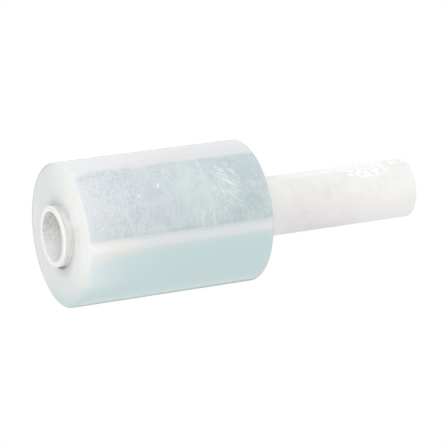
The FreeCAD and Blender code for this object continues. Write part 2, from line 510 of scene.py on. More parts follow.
# %% The silver of the crinkled zone
def silver_paint(tree, air, unrest, streaks, frost, height, from_start, crease):
    """The crinkled zone: silvery, with air between its turns and pale creases."""
    inland = ramp(tree, from_start, 12 * MM, 30 * MM)
    far_part = ramp(tree, from_start, 75 * MM, 92 * MM)
    laps = lap_lines(tree, weighted(tree, [(from_start, 1.0), (unrest, 3.0 * MM)]))
    frosted = weighted(tree, [(inland, -0.2), (far_part, 0.2), (1.0, 0.5)])
    patchy = weighted(tree, [(ramp(tree, air["Drift"], 0.35, 0.65), 0.5), (1.0, 0.75)])
    mottles = calc(tree, "SUBTRACT", ramp(tree, air["Mottles"], 0.36, 0.64), 0.5)
    calmer = ramp(tree, from_start, 15 * MM, 45 * MM)
    mottled = weighted(tree, [(calmer, -0.48), (far_part, 0.14), (1.0, 0.6)])
    whiteness = weighted(tree, [
        (streaks, 0.26), (product(tree, frost, patchy), frosted), (mottles, mottled), (laps, 1.0),
        (ramp(tree, air["Clouds"], 0.36, 0.64), 0.4), (broad_clouds(tree, height, from_start), 1.0),
        (ramp(tree, from_start, 20 * MM, 60 * MM), -0.135), (inland, 0.1), (far_part, -0.1), (1.0, 0.04),
    ])
    whiteness = calc(tree, "MAXIMUM", whiteness, 0.0)
    silver = blend(tree, ramp(tree, from_start, 0.0, 85 * MM), SILVER_LAVENDER, SILVER_TEAL)
    silver = tint(tree, silver, blend(tree, whiteness, AIR_DARK, AIR_LIGHT), 1.0)
    lower_rim = ramp(tree, height, CRINKLE_LOW[1] + 0.07, CRINKLE_LOW[1])
    silver = tint(tree, silver, AIR_DARK, lower_rim, 0.3)
    return lay(tree, silver, CREASE_WHITE, crease, 0.9)


# %% The painted top reflection and the glow
def top_reflection_paint(tree, upper, from_start):
    """The painted reflection of a softbox on top: palest beside the lower end, and a little darker by the
    crinkles.
    """
    pale_top = ramp(tree, from_start, 65 * MM, 18 * MM)
    top = blend(tree, pale_top, TOP_REFLECTION, TOP_REFLECTION_PALE)
    away_from_end = weighted(tree, [(pale_top, -0.7), (1.0, 1.0)])
    return lay(tree, top, TOP_REFLECTION_EDGE, ramp(tree, upper, 0.94, 0.8), away_from_end)


def end_glow(tree, height, from_start, from_end, short):
    """Light that entered by the end faces: less of it on top, far below, and in the middle."""
    glow = product(tree, fade(tree, from_start, GLOW_DEPTH), 0.7)
    far_glow = product(tree, fade(tree, from_end, FAR_GLOW_DEPTH), 0.15)
    low_side = ramp(tree, height, -0.66, -0.93)
    middle = product(tree, band(tree, height, (-0.2, -0.13), (0.45, 0.65)), short)
    dimmed = weighted(tree, [(ramp(tree, height, 0.2, 0.95), 0.7), (low_side, 0.95), (middle, 0.6)])
    return product(tree, calc(tree, "MAXIMUM", glow, far_glow), calc(tree, "SUBTRACT", 1.0, dimmed))


# %% Material: the wound side of the film
def film_side_material():
    """Zones by height, each with its own paint (two are painted reflections), under a painted end glow."""
    material, tree, shader, place = new_material("film_side")
    unrolled = node(tree, "ShaderNodeAttribute", attribute_name="unrolled").outputs["Vector"]
    crease = node(tree, "ShaderNodeAttribute", attribute_name="crease").outputs["Fac"]
    air = place_group(tree, TRAPPED_AIR, {"Unrolled": unrolled})
    xyz = split(tree, place)
    from_start = calc(tree, "SUBTRACT", xyz["Z"], FILM_START)
    from_end = calc(tree, "SUBTRACT", FILM_START + FILM_WIDTH, xyz["Z"])

    # The zones lie level in front, and drift up and down at the back
    at_back = ramp(tree, xyz["Y"], 0.0, 0.5 * FILM_RADIUS)
    drift = product(tree, calc(tree, "SUBTRACT", air["Drift"], 0.5), at_back)
    height = weighted(tree, [(xyz["X"], -1 / FILM_RADIUS), (drift, 0.4)])

    # Where each zone is
    unrest = calc(tree, "SUBTRACT", air["Clouds"], 0.5)
    short = fade(tree, from_start, SHORT_DEPTH)
    upper = weighted(tree, [
        (height, 1.0), (ramp(tree, from_start, 50 * MM, 75 * MM), 0.006), (unrest, 0.05),
        (air["Frost"], 0.05), (1.0, -0.013), (short, 0.1),
    ])
    top_reflection = ramp(tree, upper, *TOP_REFLECTION_FADE)
    over_teal = ramp(tree, height, *CRINKLE_LOW)
    rough_start = weighted(tree, [(from_start, 1.0), (unrest, 6.0 * MM)])
    crinkled = calc(tree, "SUBTRACT", over_teal, top_reflection)
    crinkled = product(tree, crinkled, ramp(tree, rough_start, *CALM_END))
    widened = weighted(tree, [(height, 1.0), (fade(tree, from_start, STRIP_TAPER), STRIP_WIDENS)])
    strip_reflection = ramp(tree, widened, *STRIP_LOW)

    # The painted strip reflection is creamy near the lower end, where the light comes in
    creamy = ramp(tree, from_start, 45 * MM, 0.0)
    streaks = ramp(tree, air["Streaks"], 0.3, 0.7)
    frost = ramp(tree, air["Frost"], 0.34, 0.66)
    silver = silver_paint(tree, air, unrest, streaks, frost, height, from_start, crease)
    colour = lay(tree, FLAT_TEAL, blend(tree, creamy, STRIP_REFLECTION_GREY, STRIP_REFLECTION_CREAM), strip_reflection)
    colour = lay(tree, colour, SMOOTH_PALE, over_teal)
    colour = lay(tree, colour, silver, crinkled)
    colour = lay(tree, colour, top_reflection_paint(tree, upper, from_start), top_reflection)
    colour = lay(tree, colour, GLOW_WHITE, end_glow(tree, height, from_start, from_end, short))
    colour = lay(tree, colour, EDGE_DARK, ramp(tree, from_end, 0.9 * MM, 0.1 * MM), 0.6)

    # Glossy where the film lies flat, duller where it is frosted and on the very edge
    at_end = ramp(tree, from_start, 2.0 * MM, 0.4 * MM)
    dull = product(tree, calc(tree, "ADD", frost, streaks), crinkled)
    rough = weighted(tree, [(dull, 0.11), (at_end, 0.25), (1.0, 0.14)])
    relief = product(tree, weighted(tree, [(streaks, 0.2), (frost, 0.8)]), crinkled)
    surface(tree, shader, colour, rough, relief, strength=0.35, depth=0.15 * MM)
    let_light_in(shader, weight=0.1, reach=(1.0, 1.2, 1.2))
    return material


FILM_SIDE = film_side_material()
print("the film's side is drawn by", len(FILM_SIDE.node_tree.nodes), "nodes")

# %% [markdown]
# The end faces show the edges of all the turns. They are paler and duller than the side,
# because hundreds of film edges scatter the light. Fine rings follow the turns, so the
# pattern depends on the distance from the axis alone. Rings also throw light along two
# opposite directions, as a record does; that highlight is painted into the colour, and so
# is the grey shade close to the core, where the core shades it.
#
# The rest of the light and shade painted on a face, and two green tints, are a list of
# patches, each a piece of a ring: it has a direction, from +X towards +Y, and a stretch of
# the radius.

# %% Paints and patches of the end faces
END_TEAL = paint(222, 228, 228)
END_WHITE = paint(254, 252, 248)
END_SHADE = paint(226, 230, 236)
CONTACT_SHADOW = paint(150, 156, 157)
TURN_SHADE = paint(240, 243, 243)
BAND_SHADE = paint(243, 246, 246)
# Directions in degrees: where the face is palest, and its upper and lower side in the picture
PALE_SIDE = 262
UPPER_SIDE = 175
LOWER_SIDE = 18

# Each patch: the direction of its middle in degrees, the cosines towards it over which the
# patch comes up, the radii in millimetres over which it comes up (inwards where the first
# is the larger), its strength, its paint, and how that is put on. Cosines under -1 take in
# the whole round.
END_PATCHES = [
    # Greener towards the rim
    (5, (0.6, 1.0), (26.0, 35.5), 1.0, paint(213, 227, 227), "MIX"),
    # Painted shade on one side of the core and painted light on the other
    (273, (0.95, 0.995), (32.0, 24.0), 0.3, END_SHADE, "MULTIPLY"),
    (PALE_SIDE + 180, (0.3, 0.9), (22.0, 17.0), 0.5, END_WHITE, "MIX"),
    # The outermost turns: painted shade on the hidden side, painted light on the other
    (118, (0.3, 0.8), (34.8, 35.7), 1.0, paint(214, 222, 225), "MULTIPLY"),
    (248, (0.3, 0.85), (25.0, 34.0), 0.6, WHITE, "MIX"),
    # Painted shade on the rounded corner all round
    (0, (-1.5, -1.2), (35.8, 36.3), 1.0, paint(239, 242, 244), "MULTIPLY"),
    # A narrow painted highlight from the core to the rim, and a green tint of the outermost turns
    (251, (0.975, 0.998), (0.0, 10.0), 0.4, WHITE, "MIX"),
    (333, (0.84, 0.93), (33.4, 35.4), 1.0, paint(242, 251, 253), "MULTIPLY"),
]


# %% Material: the end faces of the film
def film_end_material():
    """Turns as rings, under light and shade that change with direction and radius."""
    material, tree, shader, place = new_material("film_end")
    flat, radius = from_axis(tree, place)
    unit = node(tree, "ShaderNodeVectorMath", {0: flat}, operation="NORMALIZE").outputs["Vector"]

    def toward(degrees):
        """The cosine of the angle between a point's direction and this one."""
        angle = math.radians(degrees)
        return measure(tree, "DOT_PRODUCT", unit, (math.cos(angle), math.sin(angle), 0.0))

    # Painted highlight: paler along two opposite directions, more so along one of them
    pale = toward(PALE_SIDE)
    facing = weighted(tree, [(pale, 0.68), (1.0, 0.31)])
    away = weighted(tree, [(product(tree, pale, pale), 0.12), (1.0, 0.31)])
    haze = calc(tree, "SUBTRACT", cloud(tree, place, 90.0, 2.0, 0.5), 0.5)
    light = weighted(tree, [(calc(tree, "MAXIMUM", facing, away), 1.0), (haze, 0.3)])
    colour = blend(tree, light, END_TEAL, END_WHITE)

    # The shade of the core, and the patches
    upright = toward(UPPER_SIDE)
    sides = weighted(tree, [
        (product(tree, upright, upright), 0.6), (ramp(tree, pale, 0.55, 1.0), 0.58), (1.0, 0.28),
    ])
    colour = tint(tree, colour, END_SHADE, ramp(tree, radius, 23.0 * MM, CORE_RADIUS), sides)
    for middle, cosines, radii, strength, over, mode in END_PATCHES:
        in_sector = ramp(tree, toward(middle), *cosines)
        in_ring = ramp(tree, radius, *[r * MM for r in radii])
        colour = lay(tree, colour, over, in_sector, in_ring, strength, mode=mode)

    # The stub's painted contact shadow under it, on the lower face alone
    off_stub = measure(tree, "DISTANCE", flat, (0.0, 3.5 * MM, 0.0))
    contact_shadow = ramp(tree, off_stub, CORE_RADIUS + 2.2 * MM, CORE_RADIUS + 0.3 * MM)
    lower_face = calc(tree, "LESS_THAN", split(tree, place)["Z"], FILM_START + FILM_WIDTH / 2)
    colour = tint(tree, colour, CONTACT_SHADOW, ramp(tree, toward(LOWER_SIDE), 0.78, 0.97), contact_shadow, lower_face)

    # The rings of single turns and of bands of turns
    turns = ring_noise(tree, radius, 2600.0, 3.0, 0.6)
    wide_turns = ring_noise(tree, radius, 420.0, 2.0, 0.5)
    for rings, darkest in ((turns, TURN_SHADE), (wide_turns, BAND_SHADE)):
        colour = tint(tree, colour, blend(tree, rings, darkest, WHITE), 0.6)
    rough = weighted(tree, [(turns, 0.2), (1.0, 0.34)])
    surface(tree, shader, colour, rough, turns, strength=0.35, depth=0.08 * MM)
    let_light_in(shader, weight=0.15, reach=(1.0, 1.1, 1.1))
    return material


FILM_END = film_end_material()
print("the film's end faces are drawn by", len(FILM_END.node_tree.nodes), "nodes")

# %% [markdown]
# ## The wound film
#
# The film could be a plain cylinder with a bump map, but its outline, its soft edges and
# its creases would then be missing from the mesh. Here the section is a line of points
# from the core outwards over the lower end face, along the side and back over the upper
# end face. Each band of turns is shifted along the axis, as in the solid, and each turn's
# edge wanders a little more.

# %% Section of the film
# Each band of turns ends after a share of the winding and is shifted along the axis
TURN_BANDS = [(0.08, 0.30), (0.22, 0.10), (0.37, 0.24), (0.55, 0.04), (0.68, 0.20), (0.89, 0.26)]
OUTER_SHIFT = 0.12
BAND_BLEND = 0.3 * MM
FACE_ROWS = 44
EDGE_ROWS = 5
SIDE_ROWS = 290


def band_shift(radius):
    """Shift of the turn at a radius: a flight of soft steps from band to band."""
    winding = FILM_RADIUS - FILM_EDGE - CORE_RADIUS
    shifts = [shift * MM for _, shift in TURN_BANDS] + [OUTER_SHIFT * MM]
    total = np.full_like(radius, shifts[0])
    for (share, _), before, after in zip(TURN_BANDS, shifts, shifts[1:]):
        place = CORE_RADIUS + share * winding
        total += (after - before) * smooth_step(radius, place - BAND_BLEND / 2, place + BAND_BLEND / 2)
    return total


def film_section():
    """Radius and height of each row of the section, and its material number."""
    face = np.linspace(CORE_RADIUS, FILM_RADIUS - FILM_EDGE, FACE_ROWS)
    bend = np.linspace(0, math.pi / 2, EDGE_ROWS + 1)[1:]
    edge_radius = FILM_RADIUS - FILM_EDGE * (1 - np.sin(bend))
    edge_rise = FILM_EDGE * (1 - np.cos(bend))
    side = np.linspace(FILM_EDGE, FILM_WIDTH - FILM_EDGE, SIDE_ROWS)[1:-1]
    shift = band_shift(face)
    outer = OUTER_SHIFT * MM
    radius = np.concatenate([
        face, edge_radius, np.full(len(side), FILM_RADIUS), edge_radius[::-1], face[::-1],
    ])
    rise = np.concatenate([
        shift, outer + edge_rise, outer + side, outer + FILM_WIDTH - edge_rise[::-1],
        FILM_WIDTH + shift[::-1],
    ])
    ends = len(face) + 2
    material = np.zeros(len(radius), dtype=int)
    material[:ends] = 1
    material[-ends - 1:] = 1
    return radius, FILM_START + rise, material


# %% [markdown]
# The side is carried round the axis as a spiral that shrinks by one step in a turn, and
# leaves the free edge of the film standing where it ends. The columns stand closer where
# the film is crinkled. The creases are pressed into it, never out of it, so that the film
# stays inside its solid.

# %% Columns of the film
FINE_COLUMNS = 144
COARSE_COLUMNS = 110
# The crinkled zone as angles from +X
FINE_FROM = math.radians(206)
FINE_TO = math.radians(282)


def film_columns():
    """Shares of a turn, counted from the free edge: close in the crinkled zone."""
    start = (FINE_FROM - TAIL_ANGLE) / (2 * np.pi)
    end = (FINE_TO - TAIL_ANGLE) / (2 * np.pi)
    before = round(COARSE_COLUMNS * start / (1 - end + start))
    after = COARSE_COLUMNS - before
    return np.concatenate([
        np.linspace(0, start, before, endpoint=False),
        np.linspace(start, end, FINE_COLUMNS, endpoint=False),
        np.linspace(end, 1 - 1e-4, after),
    ])


# %% Creases
# A crease: where its middle lies as degrees above the middle of the front and millimetres
# along the film's width, its length and width in millimetres, its slant in degrees from
# the direction of the axis, and how proud it is of the film beside it, from 0 to 1
CREASES = [
    (29, 42.5, 2.6, 0.9, 60, 1.0), (22, 30.5, 1.6, 1.2, 10, 0.7), (25, 79.5, 6.0, 1.2, -42, 0.9),
    (35, 83.5, 4.5, 0.5, -40, 0.7), (31, 84.5, 5.0, 0.5, -42, 0.8), (16, 79.0, 4.5, 0.5, -48, 0.6),
    (12, 80.5, 4.0, 0.5, -50, 0.6), (-1, 62.5, 4.0, 0.5, 52, 0.8), (2, 64.5, 2.5, 0.4, 60, 0.5),
    (44, 48.5, 2.4, 0.5, 65, 0.5),
]
# Each cluster: middle, spread, number of creases, mean slant and greatest proudness
CLUSTERS = [
    ((32, 80.5), (6, 4), 38, -42, 1.0), ((14, 79.5), (7, 4), 30, -50, 0.85),
    ((0, 63.0), (5, 5), 12, 55, 0.7), ((20, 50.0), (18, 30), 46, 80, 0.35),
]
CLUSTER_SEED = 71
# The clusters' creases: their lengths and widths in millimetres, how far their slants
# spread in degrees, and their share of the greatest proudness
FINE_LENGTHS = (1.2, 4.2)
FINE_WIDTHS = (0.34, 0.56)
SLANT_SPREAD = 8
PROUD_SHARES = (0.3, 1.0)
FRONT_DEGREES = 270


def crease_height(angle, along):
    """Height of all creases at each point, from 0 to 1.

    Along a crease the distance from its middle, and across it the distance from its line,
    are both taken as shares of its size. Its height is exp(-across^2 - (0.9 along)^4), so
    it is narrow across and fades only at its two tips.
    """
    chance = np.random.default_rng(CLUSTER_SEED)
    fine = [np.array(CREASES, dtype=float)]
    for middle, spread, number, slant, proud in CLUSTERS:
        fine.append(np.stack([
            chance.normal(middle[0], spread[0], number), chance.normal(middle[1], spread[1], number),
            chance.uniform(*FINE_LENGTHS, number), chance.uniform(*FINE_WIDTHS, number),
            chance.normal(slant, SLANT_SPREAD, number), chance.uniform(*PROUD_SHARES, number) * proud,
        ], axis=1))
    across_mm = (FRONT_DEGREES - np.degrees(angle)) * np.pi / 180 * FILM_RADIUS / MM
    along_mm = along * FILM_WIDTH / MM
    height = np.zeros_like(angle)
    for middle, place, length, width, slant, proud in np.concatenate(fine):
        side = across_mm - np.radians(middle) * FILM_RADIUS / MM
        run = along_mm - place
        slant = np.radians(slant)
        lengthwise = (run * np.cos(slant) + side * np.sin(slant)) / (length / 2)
        sideways = (side * np.cos(slant) - run * np.sin(slant)) / (width / 2)
        height = np.maximum(height, proud * np.exp(-sideways ** 2 - (0.9 * lengthwise) ** 4))
    return height


# %% Build the film
# Each ripple of the crinkled zone: its slant, its cells round the roll and along it, its
# seed, and its share of the depth
RIPPLES = [(0.0, 14, 36, 11, 0.30), (0.12, 60, 60, 12, 0.30), (0.0, 150, 110, 13, 0.20)]
RIPPLE_DEPTH = 0.11 * MM
CRINKLE_SINK = 0.07 * MM
CALM_DEPTH = 0.0096 * MM
# The whole outside lies this much inside the solid
INSIDE = 0.003 * MM
TAIL_WANDER = 1.2 * MM
TURN_WANDER = 0.04 * MM


def film_points():
    """The film's points, the material of each row, the unrolled place and the crease height."""
    radius, rise, material = film_section()
    around, radius = np.meshgrid(film_columns(), radius)
    rise = np.repeat(rise[:, None], around.shape[1], axis=1)
    along = (rise - FILM_START) / FILM_WIDTH

    # Two half circles, centred a quarter of the step to either side of the axis
    lean = TAIL_STEP / 4 * np.cos(2 * np.pi * around)
    outside = np.where(around < 0.5, -TAIL_STEP / 4 + lean, -3 * TAIL_STEP / 4 - lean)
    share = (radius - CORE_RADIUS) / (FILM_RADIUS - CORE_RADIUS)
    radius = radius + outside * share

    # The free edge isn't quite straight: it wanders, and the turns beside it follow
    wander = TAIL_WANDER / FILM_RADIUS * random_field(0 * along, along, 1, 9, 5)
    near_edge = np.cos(np.pi * around) ** 2 * smooth_step(share, 0.9, 1.0)
    angle = TAIL_ANGLE + 2 * np.pi * around + wander * near_edge

    # Crinkles: long shallow ones round the roll, slanted ones across them, and fine ripples
    side = smooth_step(share, 0.992, 0.996)
    side = side * smooth_step(along, 0.01, 0.04) * smooth_step(1 - along, 0.01, 0.04)
    height = -np.cos(angle)
    crinkled = smooth_step(height, *CRINKLE_LOW) * (1 - smooth_step(height, *CRINKLE_HIGH))
    position = angle / (2 * np.pi)
    sink = CRINKLE_SINK
    for slant, cells_around, cells_along, seed, part in RIPPLES:
        ripple = np.abs(random_field(position + slant * along, along, cells_around, cells_along, seed))
        sink = sink + RIPPLE_DEPTH * part * ripple
    calm = CALM_DEPTH * np.abs(random_field(position, along, 10, 12, 14))
    crease = crease_height(angle, along) * crinkled * side
    dip = crinkled * sink * (1 - crease) + (1 - crinkled) * calm
    radius = radius - side * dip - INSIDE * share

    # Turn edges on the end faces wander by a few hundredths of a millimetre
    face = 1 - smooth_step(share, 0.93, 0.97)
    inwards = np.where(along < 0.5, 1.0, -1.0)
    edges = random_field(0.02 * np.sin(2 * np.pi * around), share, 40, 50, 21)
    rise = rise + inwards * face * TURN_WANDER * (1 + edges)
    points = np.stack([radius * np.cos(angle), radius * np.sin(angle), rise], axis=-1)
    unrolled = np.stack([2 * np.pi * around * FILM_RADIUS, rise - FILM_START, 0 * rise], axis=-1)
    return points, material, unrolled, crease


points, rows, unrolled, crease = film_points()
wound_film = ring_piece("wound_film", points, rows, [FILM_SIDE, FILM_END], sharp_degrees=50)
layout = wound_film.data.attributes.new("unrolled", "FLOAT_VECTOR", "POINT")
layout.data.foreach_set("vector", unrolled.astype(np.float32).ravel())
ridges = wound_film.data.attributes.new("crease", "FLOAT", "POINT")
ridges.data.foreach_set("value", crease.astype(np.float32).ravel())
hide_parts("film_roll")
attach(wound_film, "root")

# %% [markdown]
# ## The finish of the core
#
# The core is wound from strips of paper. The outermost strip is white and smooth, with
# faint fibres. The inner strips are grey board, felted and rough, as the bore shows. A
# knife has cut the ends, and the cut is white with the fine lines of the plies.
#
# The fibres are the same effect in all three, at different strengths, so they are one
# node group. It also has the clouds of the paper, its shallow wrinkles, which are thin
# lines where a coarse noise crosses its middle value, and patches where painted highlights go.


# %% Node group: paper fibres
def fibre_group():
    """Felted fibres: noise stretched in two crossing directions, with clouds behind it."""
    tree, inside, outside = new_group(
        "paper_fibres",
        {"Vector": "NodeSocketVector", "Size": "NodeSocketFloat"},
        ["Fibres", "Clouds", "Wrinkles", "Patches"],
    )
    vector = inside["Vector"]
    size = inside["Size"]
    one_way = cloud(tree, stretched(tree, vector, (1500, 1500, 420), (0.5, 0.3, 0)), size, 4.0, 0.65)
    other_way = cloud(tree, stretched(tree, vector, (500, 500, 1300), (-0.4, 0.2, 0)), size, 4.0, 0.65)
    coarse = cloud(tree, stretched(tree, vector, (260, 260, 180)), size, 3.0, 0.6)
    off_middle = calc(tree, "ABSOLUTE", calc(tree, "SUBTRACT", coarse, 0.5))
    wrinkled = ramp(tree, cloud(tree, vector, 60.0, 1.0, 0.5), 0.42, 0.6)
    highlight_spots = cloud(tree, stretched(tree, vector, (420, 420, 330)), size, 4.0, 0.65)
    put(tree, outside["Fibres"], weighted(tree, [(one_way, 0.5), (other_way, 0.5)]))
    put(tree, outside["Clouds"], cloud(tree, stretched(tree, vector, (140, 140, 140)), size, 3.0, 0.5))
    put(tree, outside["Wrinkles"], product(tree, ramp(tree, off_middle, 0.08, 0.0), wrinkled))
    put(tree, outside["Patches"], ramp(tree, highlight_spots, 0.47, 0.55))
    return tree


PAPER_FIBRES = fibre_group()

# %% Paints and patches of the paper
WEAR_AND_HIGHLIGHT_WHITE = paint(255, 254, 252)
LILAC = paint(255, 250, 255)
UNDER_SHADE = paint(250, 249, 250)
STUB_SHADE = paint(242, 242, 241)
CRACKLE_GREY = paint(228, 227, 225)
PLY_GREY = paint(222, 220, 217)
STAIN = paint(214, 186, 170)
STAIN_PLACE = (11.2 * MM, -10.4 * MM, 2.2 * MM)
PAPER_IOR = 1.45
PAPER_SHINE = 0.35

# Each patch of the handle: the heights over which it comes up, as shares of the radius
# (downwards where the first is the larger), the millimetres along the core where it begins
# and where it ends, its strength, its paint, and how that is put on
HANDLE_PATCHES = [
    # A painted highlight on the crest, painted shade on the underside, and a cool tint over the lower half
    ((0.7, 0.97), (117, 132), (182, 192), 0.55, WEAR_AND_HIGHLIGHT_WHITE, "MIX"),
    ((-0.5, -0.95), (122, 138), (160, 175), 1.0, UNDER_SHADE, "MULTIPLY"),
    ((-0.1, -0.6), (90, 100), (150, 185), 0.45, LILAC, "MULTIPLY"),
]


# %% Materials: white outside, cut edge, grey bore
def paper_material(name, dark, light, contrast, size, bump, roughness, finish):
    """Paper with fibres and clouds between two colours. The finish function adds to its colour."""
    material, tree, shader, place = new_material(name)
    paper = place_group(tree, PAPER_FIBRES, {"Vector": place, "Size": size})
    fibres = ramp(tree, paper["Fibres"], 0.5 - contrast, 0.5 + contrast)
    clouds = ramp(tree, paper["Clouds"], 0.35, 0.65)
    tone = weighted(tree, [(fibres, 0.65), (clouds, 0.35)])
    colour = finish(tree, place, paper, blend(tree, tone, dark, light))
    rough = weighted(tree, [(tone, 0.08), (1.0, roughness)])
    surface(tree, shader, colour, rough, tone, strength=0.6, depth=bump)
    shader.inputs["IOR"].default_value = PAPER_IOR
    shader.inputs["Specular IOR Level"].default_value = PAPER_SHINE
    print(name, "is drawn by", len(tree.nodes), "nodes")
    return material


def outside_finish(tree, place, paper, colour):
    """Paler towards the far end and white in patches above, both painted light; crackled near the film; one
    stain.
    """
    xyz = split(tree, place)
    height = product(tree, xyz["X"], -1 / CORE_RADIUS)
    along = product(tree, xyz["Z"], 1 / MM)

    # Painted light: the far part is paler, most of all below
    far = weighted(tree, [(ramp(tree, height, 0.8, -0.1), 0.45), (1.0, 0.15)])
    colour = lay(tree, colour, WEAR_AND_HIGHLIGHT_WHITE, ramp(tree, along, 125, 195), far)

    # Wrinkled where a hand grips it, and painted highlights in white patches on top
    beside = band(tree, height, (-0.7, -0.3), (0.4, 0.8))
    gripped = product(tree, band(tree, along, (115, 128), (145, 165)), beside)
    wrinkles = paper["Wrinkles"]
    crackle = weighted(tree, [(gripped, 0.1), (product(tree, wrinkles, gripped), 0.3), (wrinkles, 0.18)])
    colour = tint(tree, colour, CRACKLE_GREY, crackle)
    above = weighted(tree, [(height, 1.0), (band(tree, along, (158, 168), (184, 190)), 0.33)])
    on_top = ramp(tree, above, 0.78, 0.92)
    colour = lay(tree, colour, WEAR_AND_HIGHLIGHT_WHITE, ramp(tree, along, 140, 160), on_top, paper["Patches"])
    for heights, begins, ends, strength, over, mode in HANDLE_PATCHES:
        on_wall = ramp(tree, height, *heights)
        colour = lay(tree, colour, over, on_wall, band(tree, along, begins, ends), strength, mode=mode)
    # Painted light beside the film, which lifts the shade that the film casts there
    colour = lay(tree, colour, WEAR_AND_HIGHLIGHT_WHITE, ramp(tree, along, 129, 117), 0.4)

    # The stub is greyer and ringed, its cut edge is worn white, and it has one stain
    start_mm = FILM_START / MM
    stub = ramp(tree, along, start_mm + 1.0, start_mm)
    colour = tint(tree, colour, STUB_SHADE, stub, 0.8)
    upwards = {"Z": xyz["Z"], "X": product(tree, height, MM)}
    turned = cloud(tree, node(tree, "ShaderNodeCombineXYZ", upwards).outputs[0], 1500.0, 2.0, 0.5)
    colour = tint(tree, colour, CRACKLE_GREY, ramp(tree, turned, 0.45, 0.62), stub, 0.7)
    colour = lay(tree, colour, WEAR_AND_HIGHLIGHT_WHITE, ramp(tree, along, 1.6, 0.5), 0.85)
    off_stain = measure(tree, "DISTANCE", place, STAIN_PLACE)
    return lay(tree, colour, STAIN, ramp(tree, off_stain, 0.9 * MM, 0.2 * MM), 0.6)


def cut_finish(tree, place, paper, colour):
    """The plies are thin rings round the bore."""
    rings = ring_noise(tree, from_axis(tree, place)[1], 1900.0, 1.0, 0.5)
    return tint(tree, colour, PLY_GREY, ramp(tree, rings, 0.55, 0.65), 0.9)


def bore_finish(tree, place, paper, colour):
    """The bore is paler on its side towards +X, where more light reaches it."""
    lit = ramp(tree, split(tree, place)["X"], -8.0 * MM, 0.5 * BORE_RADIUS)
    return lay(tree, colour, WHITE, lit, 0.92)


PAPER_OUTSIDE = paper_material(
    "paper_outside", paint(230, 229, 227), paint(240, 239, 238), contrast=0.2, size=1.0,
    bump=0.02 * MM, roughness=0.5, finish=outside_finish,
)
PAPER_CUT = paper_material(
    "paper_cut", paint(246, 246, 243), paint(255, 254, 252), contrast=0.15, size=1.6,
    bump=0.05 * MM, roughness=0.75, finish=cut_finish,
)
PAPER_BORE = paper_material(
    "paper_bore", paint(208, 207, 206), paint(255, 255, 254), contrast=0.05, size=1.2,
    bump=0.1 * MM, roughness=0.85, finish=bore_finish,
)

# %% [markdown]
# ## The paper core
#
# The seams between neighbouring strips climb round the core as helices. On an upright grid
# such a thin slanting groove would need very fine rows. So the grid itself is twisted by
# the pitch of the seams: each seam then runs along one column, and a few extra columns
# beside it are enough.
#
# The stub's cut end is the part that the eye rests on. The knife spread its edge outwards
# into an uneven burr, and the plies show on the cut as shallow grooves.

# %% Columns and section of the core
SEAM_HALF = 0.5 * MM
SEAM_DEPTH = 0.02 * MM
SEAM_REACH = SEAM_HALF / (2 * math.pi * CORE_RADIUS)
OUTER_SEAM_AT = 0.27
INNER_SEAM_AT = 0.77
PLAIN_COLUMNS = 132
WALL_ROWS = 200
CUT_ROWS = 13
EDGE_STEPS = 4


def core_columns():
    """Shares of a turn: even ones, and a cluster of five at each seam."""
    even = np.arange(PLAIN_COLUMNS) / PLAIN_COLUMNS
    cluster = np.array([-1.0, -0.5, 0.0, 0.5, 1.0]) * SEAM_REACH
    at_seams = np.concatenate([OUTER_SEAM_AT + cluster, INNER_SEAM_AT + cluster])
    apart = np.abs(even[:, None] - np.array([OUTER_SEAM_AT, INNER_SEAM_AT])).min(axis=1)
    return np.sort(np.concatenate([even[apart > 3 * SEAM_REACH], at_seams]))


def core_section():
    """Radius, height and material number of each row, up the outside and down the bore."""
    wall = np.linspace(CORE_EDGE, CORE_LENGTH - CORE_EDGE, WALL_ROWS)
    bend = np.linspace(0, math.pi / 2, EDGE_STEPS + 1)[1:-1]
    cut = np.linspace(CORE_RADIUS - CORE_EDGE, BORE_RADIUS + CORE_EDGE, CUT_ROWS)
    outer_radius = CORE_RADIUS - CORE_EDGE * (1 - np.cos(bend))
    inner_radius = BORE_RADIUS + CORE_EDGE * (1 - np.cos(bend))
    start_rise = CORE_EDGE * (1 - np.sin(bend))
    end_rise = CORE_LENGTH - start_rise
    radius = np.concatenate([
        np.full(WALL_ROWS, CORE_RADIUS), outer_radius, cut, inner_radius[::-1],
        np.full(WALL_ROWS, BORE_RADIUS), inner_radius, cut[::-1], outer_radius[::-1],
    ])
    rise = np.concatenate([
        wall, end_rise, np.full(CUT_ROWS, CORE_LENGTH), end_rise[::-1],
        wall[::-1], start_rise, np.zeros(CUT_ROWS), start_rise[::-1],
    ])
    ring = np.ones(len(bend) + CUT_ROWS + len(bend) + 1)
    material = np.concatenate([np.zeros(WALL_ROWS - 1), ring, np.full(WALL_ROWS - 1, 2), ring])
    return radius, rise, material.astype(int)


# %% Build the core
BURR = 0.5 * MM
BURR_LENGTH = 1.2 * MM
PLIES = 5
PLY_GROOVE = 0.05 * MM
CUT_CHATTER = 0.03 * MM
FELT_DEPTH = 0.05 * MM


